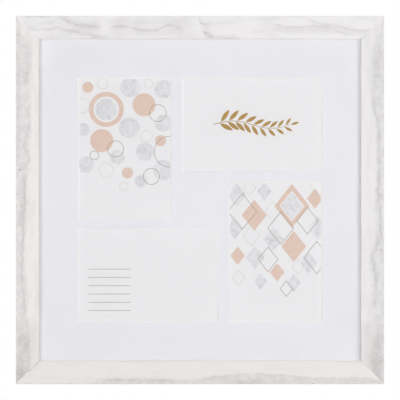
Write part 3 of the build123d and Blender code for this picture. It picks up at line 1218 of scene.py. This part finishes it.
@dataclass(frozen=True)
class ScatterDesign(PrintDesign):
    """Motifs of one outline, scattered over the upper part of the sheet.

    Attributes:
        shape: The motifs' outline.
        motifs: For each ink, its motifs: millimetres to the right of the window's middle, millimetres above
            it, half of the motif's height, and the width of its line where it isn't filled.
    """

    shape: MotifShape
    motifs: dict[Ink, tuple[tuple[float, ...], ...]]

    def polygons(self, right: float, up: float, size: float, line: float = 0.0) -> Iterator[Polygon]:
        """Give one motif as convex polygons.

        Args:
            right: Millimetres to the right of the window's middle.
            up: Millimetres above it.
            size: Half of the motif's height in millimetres.
            line: Width of its line in millimetres, or 0 where it is filled.

        Yields:
            Each polygon, in millimetres from the window's middle.
        """
        sides, width, corner = self.shape.value
        turns = [math.tau * side / sides for side in range(sides)]
        outer, inner = (
            [(right + width * half * math.cos(turn), up + half * math.sin(turn)) for turn in turns]
            for half in (size, size - line * corner)
        )
        if not line:
            yield outer
            return
        for here in range(sides):
            there = (here + 1) % sides
            yield [outer[here], outer[there], inner[there], inner[here]]

    def shapes(self) -> Iterator[tuple[Ink, Polygon]]:
        """Give every motif's polygons.

        Yields:
            Each polygon with its ink.
        """
        for ink, motifs in self.motifs.items():
            for motif in motifs:
                for polygon in self.polygons(*motif):
                    yield ink, polygon


@dataclass(frozen=True)
class SprigDesign(PrintDesign):
    """A leafy sprig that lies across the sheet.

    Attributes:
        length: Length of the stem in millimetres.
        sway: How far the stem swings up and down in millimetres.
        stem: Width of the stem at its foot in millimetres.
        stem_tip: Its width at its tip.
        stem_runs: Number of straight runs that the stem is drawn with.
        pairs: Number of pairs of leaves.
        leafy: Shares of the stem where the first and the last pair grow.
        stagger: Share of the stem by which a lower leaf comes before its upper one.
        leaf: Length of the largest leaf in millimetres.
        leaf_width: Its width in millimetres.
        leaf_steps: Number of straight runs on each side of a leaf.
        shrink: Share of its length that a leaf at the very tip would lose.
        tip_leaf: Length of the leaf at the tip in millimetres.
        lean: Angle of a leaf to the stem in degrees.
        reach: Millimetres from the stem's middle line to a leaf's foot.
        gap: Bare paper between the stem's tip and its leaf in millimetres.
    """

    length: float = 84.0
    sway: float = 4.0
    stem: float = 0.805
    stem_tip: float = 0.455
    stem_runs: int = 48
    pairs: int = 9
    leafy: Point = (0.1, 0.94)
    stagger: float = 0.02
    leaf: float = 17.0
    leaf_width: float = 5.0
    leaf_steps: int = 12
    shrink: float = 0.45
    tip_leaf: float = 9.35
    lean: float = 42.0
    reach: float = 0.7
    gap: float = 0.35

    def stem_at(self, share: float) -> tuple[complex, complex]:
        """Follow the stem, with right as the real part and up as the imaginary part.

        Args:
            share: How far along it, from 0 to 1.

        Returns:
            The place in millimetres, and the stem's direction there with a length of 1.
        """
        place = complex(self.length * (share - 0.5), self.sway * math.sin(math.tau * share))
        rise = self.sway * math.tau / self.length * math.cos(math.tau * share)
        return place, cmath.rect(1.0, math.atan(rise))

    def leaf_at(self, foot: complex, way: complex, length: float) -> Polygon:
        """Draw a leaf as two equal arcs.

        Args:
            foot: Place of the leaf's foot.
            way: Direction of the leaf, with a length of 1.
            length: Length of the leaf in millimetres.

        Returns:
            The leaf's corners, anticlockwise.
        """
        half_width = self.leaf_width / 2 * length / self.leaf
        shares = [step / self.leaf_steps for step in range(self.leaf_steps + 1)]
        right = [complex(length * share, -half_width * 4 * share * (1 - share)) for share in shares]
        left = [corner.conjugate() for corner in reversed(right[1:-1])]
        corners = [foot + way * corner for corner in right + left]
        return [(corner.real, corner.imag) for corner in corners]

    def shapes(self) -> Iterator[tuple[Ink, Polygon]]:
        """Give the stem, its pairs of leaves and the leaf at its tip.

        Yields:
            Each polygon with its ink.
        """
        edges = []
        for run in range(self.stem_runs + 1):
            share = run / self.stem_runs
            place, way = self.stem_at(share)
            half = way * TO_LEFT * (self.stem + share * (self.stem_tip - self.stem)) / 2
            edges.append([(corner.real, corner.imag) for corner in (place + half, place - half)])
        for (upper, lower), (next_upper, next_lower) in zip(edges, edges[1:]):
            yield Ink.GOLD, [lower, next_lower, next_upper, upper]
        first, last = self.leafy
        for pair in range(self.pairs):
            share = first + (last - first) * pair / (self.pairs - 1)
            length = self.leaf * (1.0 - self.shrink * share)
            for side in (1, -1):
                place, way = self.stem_at(share - self.stagger * (side < 0))
                foot = place + way * TO_LEFT * side * self.reach
                lean = cmath.rect(1.0, side * math.radians(self.lean))
                yield Ink.GOLD, self.leaf_at(foot, way * lean, length)
        place, way = self.stem_at(1.0)
        yield Ink.GOLD, self.leaf_at(place + way * self.gap, way, self.tip_leaf)


@dataclass(frozen=True)
class RuledDesign(PrintDesign):
    """Blank caption lines in the lower corner of the sheet.

    Attributes:
        left: Millimetres from the window's middle to the lines' left end.
        top: Millimetres from the window's middle up to the first line.
        length: Length of a line in millimetres.
        pitch: Spacing of the lines in millimetres.
        weight: Thickness of a line in millimetres.
        count: Number of lines.
    """

    left: float = -65.0
    top: float = 7.0
    length: float = 46.0
    pitch: float = 9.0
    weight: float = 0.6
    count: int = 6

    def shapes(self) -> Iterator[tuple[Ink, Polygon]]:
        """Give each line as a thin bar.

        Yields:
            Each bar with its ink.
        """
        right = self.left + self.length
        for number in range(self.count):
            high = self.top - self.pitch * number
            low = high - self.weight
            yield Ink.RULE, [(self.left, low), (right, low), (right, high), (self.left, high)]


DISC_SCATTER = ScatterDesign(
    MotifShape.DISC,
    {
        Ink.MARBLE: (
            (-20, 42, 12), (6, 66, 11), (42, 64, 10), (5, 22, 11.5), (42, 27, 9.5), (-45, 20, 7),
            (22, -4, 10), (-8, -10, 8), (42, -24, 11), (-42, -18, 9), (18, -36, 7),
        ),
        Ink.PEACH: (
            (-20, 42, 19, 5), (21, 47, 12.5), (-25, 8, 12.5), (-40, 66, 6), (39, 8, 6), (3, -27, 6),
        ),
        Ink.PALE: (
            (-46, 46, 8, 0.5), (24, 13, 6.5, 0.5), (-20, -24, 8, 0.5),
            (26, 70, 5, 0.5), (-24, 70, 6, 0.5), (-1, -42, 5, 0.5),
        ),
        Ink.DARK: (
            (36, 38, 9.5, 0.5), (-10, -1, 9, 0.5), (49, -4, 17, 0.5), (-33, -8, 5, 0.5), (29, -31, 9, 0.5),
        ),
    },
)
LOZENGE_SCATTER = ScatterDesign(
    MotifShape.LOZENGE,
    {
        Ink.MARBLE: (
            (18, 50, 15), (-42, 62, 13), (-12, 66, 10), (-44, 26, 12), (-2, 14, 14),
            (46, 26, 13), (-22, -6, 13), (36, -12, 12), (20, -34, 10), (-16, -32, 9),
        ),
        Ink.PEACH: (
            (18, 50, 24, 4.5), (-23, 40, 17), (20, 6, 17), (43, 58, 11), (-41, -4, 10), (2, -22, 10),
        ),
        Ink.PALE: (
            (-3, 44, 11, 0.5), (-26, 18, 12, 0.5), (25, -16, 9, 0.5),
            (-28, 70, 9, 0.5), (47, 72, 12, 0.5), (-40, -28, 9, 0.5),
        ),
        Ink.DARK: (
            (-36, 44, 20, 0.5), (6, 26, 18, 0.5), (35, 34, 15, 0.5),
            (-8, -8, 14, 0.5), (45, -6, 18, 0.5), (12, -40, 9, 0.5),
        ),
    },
)


def clip(polygon: Polygon, half_sizes: Point) -> Polygon:
    """Cut a convex polygon to a rectangle about the origin.

    Args:
        polygon: The polygon's corners.
        half_sizes: Half of the rectangle's width and half of its height.

    Returns:
        The corners of what is left, or an empty list.
    """
    for axis, way in ((0, 1), (0, -1), (1, 1), (1, -1)):
        kept: Polygon = []
        for start, end in zip(polygon, polygon[1:] + polygon[:1]):
            room = half_sizes[axis] - way * start[axis]
            next_room = half_sizes[axis] - way * end[axis]
            if room >= 0:
                kept.append(start)
            if room * next_room < 0:
                share = room / (room - next_room)
                kept.append((start[0] + share * (end[0] - start[0]), start[1] + share * (end[1] - start[1])))
        polygon = kept
    return polygon


@dataclass
class PrintSet(Assembly):
    """The four prints and the ink on them.

    Attributes:
        designs: What is printed on each sheet.
        film: Thickness of one layer of ink in millimetres.
        window_lap: Millimetres of each sheet's edge that the mat covers.
    """

    finishes = {"print_top": PRINT_STOCK, "print_bottom": PRINT_STOCK}
    designs: ClassVar[dict[str, PrintDesign]] = {
        "print_top_left": DISC_SCATTER,
        "print_top_right": SprigDesign(),
        "print_bottom_left": RuledDesign(),
        "print_bottom_right": LOZENGE_SCATTER,
    }
    film: float = 0.02
    window_lap: float = 1.3

    def build_film(self, print_name: str, ink: Ink, polygons: Iterable[Polygon]) -> bpy.types.Object:
        """Lay one ink on one print as a closed film.

        Args:
            print_name: Name of the print's solid.
            ink: The ink.
            polygons: Its convex shapes, in millimetres from the window's middle.

        Returns:
            The film.
        """
        low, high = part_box(print_name)
        middle = (low + high) / 2
        half = (high - low) / 2 / MM
        window = (half.x - self.window_lap, half.z - self.window_lap)
        layer = bmesh.new()
        for polygon in polygons:
            corners = [(middle.x + x * MM, low.y, middle.z + z * MM) for x, z in clip(polygon, window)]
            if len(corners) > 2:
                layer.faces.new([layer.verts.new(corner) for corner in corners])
        bmesh.ops.remove_doubles(layer, verts=layer.verts, dist=self.film * MM / 10)
        grown = bmesh.ops.extrude_face_region(layer, geom=layer.faces[:])
        fronts = [part for part in grown["geom"] if isinstance(part, bmesh.types.BMVert)]
        bmesh.ops.translate(layer, verts=fronts, vec=(0.0, -self.film * MM * ink.layer, 0.0))
        bmesh.ops.recalc_face_normals(layer, faces=layer.faces)
        name = f"{print_name}_{ink.name.lower()}_ink"
        mesh = bpy.data.meshes.new(name)
        layer.to_mesh(mesh)
        layer.free()
        return link_object(name, mesh)

    def dress(self, nodes: Nodes) -> None:
        """Give each print its paper and its inks.

        Args:
            nodes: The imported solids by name.
        """
        super().dress(nodes)
        for print_name, design in self.designs.items():
            by_ink: dict[Ink, list[Polygon]] = {}
            for ink, polygon in design.shapes():
                by_ink.setdefault(ink, []).append(polygon)
            for ink, polygons in by_ink.items():
                film = self.build_film(print_name, ink, polygons)
                cover(film, ink.value)
                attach(film, FRAME_BODY)


@dataclass(frozen=True)
class SoftBox:
    """A rectangular studio light that shines at a point.

    Attributes:
        name: Its name.
        place: Metres from the middle of the frame's front: right, back and up.
        width: Its width in metres.
        height: Its height in metres.
        power: Its power in watts.
        aim: The point that it shines at, from the same middle.
        mirrored: False where a polariser keeps it out of reflections.
    """

    name: str
    place: tuple[float, float, float]
    width: float
    height: float
    power: float
    aim: tuple[float, float, float] = (0.0, 0.0, 0.0)
    mirrored: bool = True

    def build(self, middle: Vector) -> None:
        """Hang the light.

        Args:
            middle: The middle of the frame's front.
        """
        lamp = bpy.data.lights.new(self.name, "AREA")
        lamp.shape = "RECTANGLE"
        lamp.size = self.width
        lamp.size_y = self.height
        lamp.energy = self.power
        light = link_object(self.name, lamp)
        light.location = middle + Vector(self.place)
        light.rotation_euler = (Vector(self.aim) - Vector(self.place)).to_track_quat("-Z", "Y").to_euler()
        light.visible_camera = False
        light.visible_glossy = self.mirrored


@dataclass
class Studio:
    """The camera, the lights and the floor.

    Attributes:
        field_width: Width in metres of what the picture takes in at the frame's front.
        distance: Metres from the camera to the frame's front.
        ambient: Brightness of the white room.
        floor_drop: Metres from the frame's middle down to the floor.
        floor_side: Side of the floor in metres.
        lights: The lights.
    """

    field_width: float = 0.4345
    distance: float = 6.0
    ambient: float = 0.09
    floor_drop: float = 1.5
    floor_side: float = 24.0
    lights: tuple[SoftBox, ...] = (
        SoftBox("left_soft_box", (-0.85, -1.3, 0.0), 0.7, 0.3, 5.4),
        SoftBox("right_soft_box", (0.85, -1.3, 0.0), 0.7, 0.3, 8.0),
        SoftBox("top_soft_box", (0.0, -1.3, 0.6), 0.5, 0.3, 1.2),
        SoftBox("front_fill", (0.0, -3.4, 0.0), 0.5, 0.5, 56.0, mirrored=False),
        SoftBox("far_left_soft_box", (-2.0, 0.6, 0.3), 1.2, 1.2, 20.0),
        SoftBox("far_right_soft_box", (2.0, 0.6, 0.3), 1.2, 1.2, 20.0),
        SoftBox("back_left_soft_box", (-0.9, 1.3, 0.5), 0.8, 0.8, 4.0),
        SoftBox("back_right_soft_box", (0.9, 1.3, 0.5), 0.8, 0.8, 4.0),
        SoftBox("overhead_soft_box", (0.0, 1.4, 3.0), 2.5, 2.5, 65.0, aim=(0.0, 1.4, 0.0)),
    )

    def build_camera(self, middle: Vector) -> None:
        """Set the camera square in front of the frame.

        Args:
            middle: The middle of the frame's front.
        """
        lens = bpy.data.cameras.new("camera")
        lens.sensor_width = 36.0
        lens.lens = lens.sensor_width * self.distance / self.field_width
        camera = link_object("camera", lens)
        camera.location = middle + Vector((0.0, -self.distance, 0.0))
        camera.rotation_euler = (math.pi / 2, 0.0, 0.0)
        bpy.context.scene.camera = camera

    def build_room(self) -> None:
        """Light the room evenly, and show it as plain white."""
        world = bpy.data.worlds.new("white_room")
        world.use_nodes = True
        tree = world.node_tree
        tree.nodes.clear()
        seen = add_node(tree, "LightPath", output="Is Camera Ray")
        glow, white = (
            add_node(tree, "Background", {"Color": linear("#FFFFFF"), "Strength": strength})
            for strength in (self.ambient, 1.0)
        )
        add_node(tree, "OutputWorld", {"Surface": add_node(tree, "MixShader", {0: seen, 1: glow, 2: white})})
        bpy.context.scene.world = world

    def build_floor(self, middle: Vector) -> None:
        """Lay the floor well below the frame, where it throws no light back at it.

        Args:
            middle: The middle of the frame's front.
        """
        half = self.floor_side / 2
        corners = [(-half, -half), (half, -half), (half, half), (-half, half)]
        mesh = bpy.data.meshes.new("floor")
        mesh.from_pydata([(x, y, middle.z - self.floor_drop) for x, y in corners], [], [(0, 1, 2, 3)])
        floor = link_object("floor", mesh)
        floor.visible_diffuse = False
        cover(floor, FLOOR_PAPER)
        floor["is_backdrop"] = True

    def build(self, cad_box: tuple[Vector, Vector]) -> None:
        """Set up everything that isn't part of the frame.

        Args:
            cad_box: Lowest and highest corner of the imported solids.
        """
        low, high = cad_box
        middle = Vector(((low.x + high.x) / 2, low.y, (low.z + high.z) / 2))
        self.build_camera(middle)
        self.build_room()
        self.build_floor(middle)
        for light in self.lights:
            light.build(middle)
        bpy.context.scene.view_settings.view_transform = "Standard"


def main() -> None:
    """Dress the frame and set up the studio."""
    logging.basicConfig(level=logging.INFO, format="%(message)s")
    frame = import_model()
    cad_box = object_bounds()
    Studio().build(cad_box)
    for assembly in (Moulding(), SheetStack(), PrintSet(), BackHardware()):
        assembly.dress(frame["nodes"])


if __name__ == "__main__":
    main()
